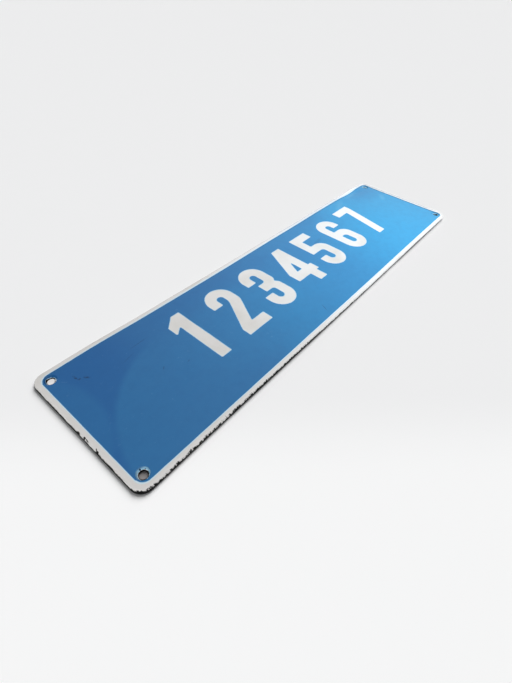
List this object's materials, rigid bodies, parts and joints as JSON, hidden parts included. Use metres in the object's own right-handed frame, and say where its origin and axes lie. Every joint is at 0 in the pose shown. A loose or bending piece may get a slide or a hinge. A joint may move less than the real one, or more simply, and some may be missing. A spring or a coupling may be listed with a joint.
{
  "type": "enamel plaque",
  "caption": "Long blue enamelled steel plaque with a white border, a turned-down rim, rounded corners and fixing holes for a wall.",
  "frame": {"origin": "centre of the bounding box's footprint, in the plane of the rim's lower edge that meets the wall or table", "axes": "+X along the length in reading direction, +Y towards the upper long edge, +Z out of the face"},
  "size_m": [0.47, 0.121, 0.0054],
  "materials": {
    "enamel": "glossy vitreous enamel, blue field with a white border and a black ground coat at the rim and back"
  },
  "bodies": {
    "root": {"plaque": "enamel"}
  },
  "joints": []
}
